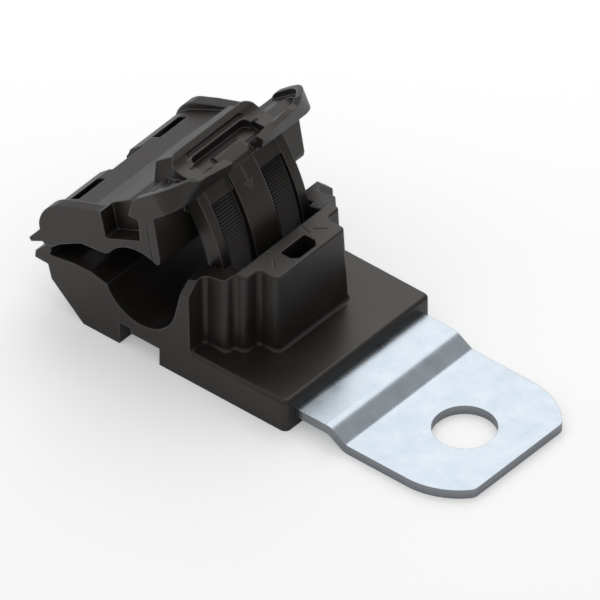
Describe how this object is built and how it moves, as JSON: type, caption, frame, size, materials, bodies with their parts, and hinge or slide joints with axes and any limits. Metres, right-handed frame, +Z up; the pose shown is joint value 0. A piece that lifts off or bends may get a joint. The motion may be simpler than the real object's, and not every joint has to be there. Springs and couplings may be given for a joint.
{
  "type": "ratchet p-clamp",
  "caption": "Ratcheting p-clamp for cables: hinged plastic jaw with a toothed strap, release pawl and joggled steel mounting plate.",
  "frame": {"origin": "centre of the bolt hole, on the underside of the mounting plate", "axes": "+X from the clamp towards the free end of the plate, +Z up, +Y across the width; mirror-symmetric about y = 0"},
  "size_m": [0.0707, 0.0292, 0.0301],
  "materials": {
    "black_nylon": "satin",
    "zinc_steel": "satin, zinc plated"
  },
  "bodies": {
    "base": {"lower_body": "black_nylon", "mounting_plate": "zinc_steel"},
    "jaw": {"upper_jaw": "black_nylon"},
    "pawl": {"release_pawl": "black_nylon"}
  },
  "joints": [
    {"name": "jaw_hinge", "type": "hinge", "parent": "base", "child": "jaw", "pos_m": [-0.05835, 0, 0.00945], "axis": [0, -1, 0], "range_deg": [-20, 29]},
    {"name": "pawl_flexure", "type": "hinge", "parent": "base", "child": "pawl", "pos_m": [-0.0319, 0, 0.0066], "axis": [0, 1, 0], "range_deg": [0, 5], "stiffness_Nm_per_rad": 0.02}
  ]
}
